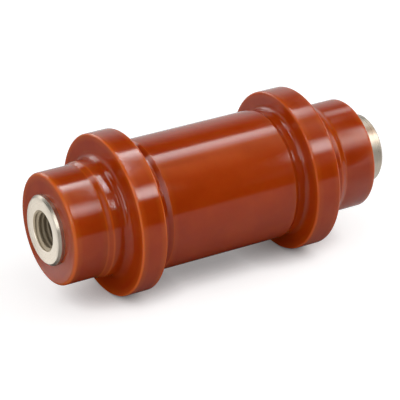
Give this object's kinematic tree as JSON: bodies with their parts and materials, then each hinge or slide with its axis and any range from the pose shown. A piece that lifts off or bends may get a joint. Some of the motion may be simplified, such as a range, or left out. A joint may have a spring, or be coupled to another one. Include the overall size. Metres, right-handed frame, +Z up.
{
  "type": "epoxy support insulator",
  "caption": "Cylindrical cast-epoxy support insulator with a shed-like rib near each end and a tapped metal insert in each end face, for standing off a busbar or switch part.",
  "frame": {"origin": "centre of the lower insert's outer face, which the insulator stands on", "axes": "+Z up along the insulator's axis towards the upper insert, which stands further out; X and Y are any pair across the axis, because the part is round"},
  "size_m": [0.064, 0.064, 0.1466],
  "materials": {
    "cast_epoxy": "glossy red-brown cast epoxy resin, slightly translucent at thin edges",
    "insert_metal": "turned and nickel-plated, fine concentric tool marks on the end face"
  },
  "bodies": {
    "root": {"epoxy_body": "cast_epoxy", "lower_insert": "insert_metal", "upper_insert": "insert_metal"}
  },
  "joints": []
}
